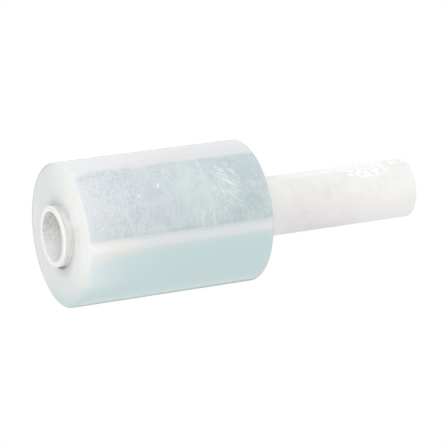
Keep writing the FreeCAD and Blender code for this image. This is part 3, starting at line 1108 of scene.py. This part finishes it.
def core_points():
    """The core's points and the material of each row."""
    radius, rise, material = core_section()
    around, radius = np.meshgrid(core_columns(), radius)
    rise = np.repeat(rise[:, None], around.shape[1], axis=1)
    angle = 2 * np.pi * (around + rise / SEAM_PITCH)
    position = angle / (2 * np.pi)
    share = (radius - BORE_RADIUS) / CORE_WALL
    along = rise / CORE_LENGTH

    # A seam is a V along its own column, as deep as it is close to that column
    outer_seam = np.clip(1 - np.abs(around - OUTER_SEAM_AT) / SEAM_REACH, 0, 1) * (share > 0.98)
    inner_seam = np.clip(1 - np.abs(around - INNER_SEAM_AT) / SEAM_REACH, 0, 1) * (share < 0.02)
    radius = radius + SEAM_DEPTH * (inner_seam - outer_seam)

    # The knife spread the cut of the stub into a burr, most of all on its upper side
    spread = (0.55 - 0.45 * np.cos(angle)) * np.exp(-rise / BURR_LENGTH) * smooth_step(share, 0.5, 1.0)
    radius = radius + BURR * spread * (0.85 + 0.15 * random_field(position, along, 24, 400, 35))

    # Plies show on the cut as shallow grooves, and the knife left the cut slightly uneven
    at_cut = smooth_step(share, 0.1, 0.2) * smooth_step(1 - share, 0.1, 0.2)
    groove = PLY_GROOVE * np.cos(np.pi * share * PLIES) ** 8
    chatter = CUT_CHATTER * (0.5 + 0.5 * random_field(position, share, 60, 6, 31))
    inwards = np.where(along < 0.5, 1.0, -1.0)
    rise = rise + inwards * at_cut * (groove + chatter)

    # The bore is felted: its wall dips into the paper by a few hundredths of a millimetre
    felt = 0.5 + 0.5 * random_field(position, along, 66, 180, 33)
    radius = radius + FELT_DEPTH * felt * (share < 0.05)
    return np.stack([radius * np.cos(angle), radius * np.sin(angle), rise], axis=-1), material


points, rows = core_points()
paper_core = ring_piece("paper_core", points, rows, [PAPER_OUTSIDE, PAPER_CUT, PAPER_BORE], sharp_degrees=60)
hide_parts("core_tube")
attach(paper_core, "root")

# %% [markdown]
# ## The camera
#
# The photograph shows the roll lying on its side with the stub towards the viewer. The
# model stands on that stub, so the camera lies on its side instead and looks up at the
# stub's end from below. Three angles and one known point set it: how far the core leans
# away from the picture, how steeply it rises in the picture, and where the centre of the
# film's near end face is seen, at what distance.

# %% Camera
PICTURE = 448
PICTURE_CENTRE = (PICTURE - 1) / 2
FOCAL_PIXELS = 2738.3
FACE_CENTRE_PIXEL = (59.99, 235.25)
FACE_CENTRE = Vector((0, 0, 4.62 * MM))
FACE_DISTANCE = 1.3582
CORE_LEAN = 0.4431
CORE_RISE = 0.1426
SENSOR = 36.0

forward = Vector((0, math.cos(CORE_LEAN), math.sin(CORE_LEAN)))
core_in_picture = Vector((0, -math.sin(CORE_LEAN), math.cos(CORE_LEAN)))
across_core = Vector((1, 0, 0))
right = math.cos(CORE_RISE) * core_in_picture + math.sin(CORE_RISE) * across_core
down = math.cos(CORE_RISE) * across_core - math.sin(CORE_RISE) * core_in_picture
sideways, downwards = [
    (pixel - PICTURE_CENTRE) / FOCAL_PIXELS * FACE_DISTANCE for pixel in FACE_CENTRE_PIXEL
]

camera_data = bpy.data.cameras.new("camera")
camera_data.sensor_width = SENSOR
camera_data.lens = FOCAL_PIXELS / PICTURE * SENSOR
camera_data.clip_start = 0.05
camera_data.clip_end = 20
camera = add_object("camera", camera_data)
turning = Matrix((right, -down, -forward)).transposed()
camera_place = FACE_CENTRE - FACE_DISTANCE * forward - sideways * right - downwards * down
camera.matrix_world = Matrix.Translation(camera_place) @ turning.to_4x4()
bpy.context.scene.camera = camera
print("camera at", [round(v, 3) for v in camera_place], "lens", round(camera_data.lens, 1), "mm")

# %% [markdown]
# ## Floor and background
#
# The picture is a packshot on pure white with soft light from above. The floor is a pale
# plane under the stub. The camera of the photograph looks from below it, so it is seen
# through from there, and like a sheet of opal glass it lets light through to the stub and
# the lower end face. From above it is opaque and keeps the roll's shadow.
#
# The world is white to the eye and in reflections, and a softer grey where it lights the
# object.


# %% Floor
def flat_sheet(name, corners, material, passed_by):
    """One quad with a material. The kinds of rays in passed_by don't meet it."""
    mesh = bpy.data.meshes.new(name)
    mesh.from_pydata(corners, [], [(0, 1, 2, 3)])
    mesh.materials.append(material)
    sheet = add_object(name, mesh)
    for kind in passed_by:
        setattr(sheet, kind, False)
    return sheet


def floor_material():
    """Pale from above and clear from below."""
    material = bpy.data.materials.new("opal_floor")
    tree = blank_tree(material)
    pale = node(tree, "ShaderNodeBsdfDiffuse", {"Color": paint(246, 246, 246)})
    clear = node(tree, "ShaderNodeBsdfTransparent")
    below = node(tree, "ShaderNodeNewGeometry").outputs["Backfacing"]
    mixed = node(tree, "ShaderNodeMixShader", {0: below, 1: pale.outputs[0], 2: clear.outputs[0]})
    node(tree, "ShaderNodeOutputMaterial", {"Surface": mixed.outputs[0]})
    return material


HALF_FLOOR = 6.0
CORNERS = ((-1, -1), (1, -1), (1, 1), (-1, 1))
floor = flat_sheet(
    "floor", [(a * HALF_FLOOR, b * HALF_FLOOR, 0) for a, b in CORNERS], floor_material(),
    ["visible_diffuse", "visible_glossy", "visible_transmission", "visible_shadow"],
)

# %% World
WORLD_LIGHT = 0.80


def make_world():
    """A white background that lights the roll with a share of its brightness."""
    world = bpy.data.worlds.new("studio")
    tree = blank_tree(world)
    rays = node(tree, "ShaderNodeLightPath").outputs
    seen = calc(tree, "MAXIMUM", rays["Is Camera Ray"], rays["Is Glossy Ray"])
    seen = calc(tree, "MAXIMUM", seen, rays["Is Transmission Ray"])
    soft = node(tree, "ShaderNodeBackground", {"Color": WHITE, "Strength": WORLD_LIGHT})
    white = node(tree, "ShaderNodeBackground", {"Color": WHITE, "Strength": 1.0})
    mixed = node(tree, "ShaderNodeMixShader", {0: seen, 1: soft.outputs[0], 2: white.outputs[0]})
    node(tree, "ShaderNodeOutputWorld", {"Surface": mixed.outputs[0]})
    return world


bpy.context.scene.world = make_world()

# %% [markdown]
# ## Lamps and cards
#
# Three soft lamps shape the roll: a wide one above it, and two weaker ones that lift the
# near end face and the front. The fourth is a long narrow light beside the camera, which
# the glossy film mirrors as a bright strip. Its place is worked out from the mirror law,
# so the strip lies where it should on the side.


# %% Soft lamps
def softbox(name, place, aim, across, tall, watts, long_way):
    """A rectangular lamp at a place, facing aim, with its long side along a direction."""
    lamp = bpy.data.lights.new(name, "AREA")
    lamp.shape = "RECTANGLE"
    lamp.size = across
    lamp.size_y = tall
    lamp.energy = watts
    lit = add_object(name, lamp)
    back = (place - aim).normalized()
    side = long_way.cross(back).normalized()
    up = back.cross(side)
    lit.matrix_world = Matrix.Translation(place) @ Matrix((side, up, back)).transposed().to_4x4()
    print(name, "gives", round(watts, 2), "watts")
    return lit


def watts_for(share, distance):
    """The watts that give a share of the light of an all-white world at a distance.

    An area lamp of P watts gives P / (pi d^2) of irradiance at a distance d, and a white
    world gives pi.
    """
    return share * math.pi ** 2 * distance ** 2


ROLL_MIDDLE = Vector((0, 0, 0.08))
HANDLE_END = Vector((0, 0, 0.2))
ALONG_CORE = Vector((0, 0, 1))
# Each lamp: its name, what it aims at, the way to it, its distance, its size, its share of
# the light, and the direction of its sides
SOFT_LAMPS = [
    ("top_light", HANDLE_END, (-0.93, -0.2, 0.3), 0.8, 0.8, 0.18, ALONG_CORE),
    ("fill_light", ROLL_MIDDLE, (-0.62, -0.45, -0.62), 1.2, 0.35, 0.11, across_core),
    ("front_light", ROLL_MIDDLE, (0.15, -0.85, -0.5), 1.2, 0.5, 0.16, across_core),
]
for name, aim, way, distance, size, share, long_way in SOFT_LAMPS:
    place = aim + distance * Vector(way).normalized()
    softbox(name, place, aim, size, size, watts_for(share, distance), long_way)


# %% Strip light
def mirrored(beta, distance, height):
    """Where a lamp is seen mirrored in the film's side, at an angle beta above the middle.

    At that angle the side faces (-sin beta, -cos beta, 0), and a ray along the camera's
    forward direction leaves it towards (-c sin 2 beta, -c cos 2 beta, s).
    """
    lean = math.cos(CORE_LEAN)
    way = Vector((-lean * math.sin(2 * beta), -lean * math.cos(2 * beta), math.sin(CORE_LEAN)))
    start = Vector((-FILM_RADIUS * math.sin(beta), -FILM_RADIUS * math.cos(beta), height))
    return start + distance * way


STRIP_MIDDLE = math.radians(-15.5)
STRIP_DISTANCE = 1.2
STRIP_SIZE = (0.26, 0.8)
STRIP_WATTS = 1.35
STRIP_COLOUR = (1.0, 0.86, 0.84)
strip_aim = Vector((0, 0, FILM_START + FILM_WIDTH / 2))
strip_place = mirrored(STRIP_MIDDLE, STRIP_DISTANCE, strip_aim.z)
strip_light = softbox("strip_light", strip_place, strip_aim, *STRIP_SIZE, STRIP_WATTS, ALONG_CORE)
strip_light.data.color = STRIP_COLOUR
strip_light.visible_diffuse = False

# %% [markdown]
# On pure white, glossy film loses its outline. A photographer stands grey cards round it,
# just out of the picture. Here two cards stand behind the roll, hidden from the camera, so
# that only reflections at grazing angles see them and draw the film a darker outline.

# %% Grey cards
CARD_DISTANCE = 0.6
CARD_WIDTH = 0.9
CARD_COLOUR = (0.97, 1.0, 1.0, 1.0)


def grey_card(name, middle_height, tall, light):
    """A card whose middle is so high in the picture over the roll's, at this brightness."""
    middle = ROLL_MIDDLE + CARD_DISTANCE * forward - middle_height * down
    corners = [middle + a * CARD_WIDTH / 2 * right + b * tall / 2 * down for a, b in CORNERS]
    material = bpy.data.materials.new(name)
    tree = blank_tree(material)
    glow = node(tree, "ShaderNodeEmission", {"Color": CARD_COLOUR, "Strength": light})
    node(tree, "ShaderNodeOutputMaterial", {"Surface": glow.outputs[0]})
    card = flat_sheet(
        name, corners, material,
        ["visible_camera", "visible_diffuse", "visible_transmission", "visible_shadow"],
    )


grey_card("upper_card", middle_height=0.095, tall=0.19, light=0.66)
grey_card("lower_card", middle_height=-0.15, tall=0.30, light=0.46)

# %% Colour management
bpy.context.scene.view_settings.view_transform = "Standard"
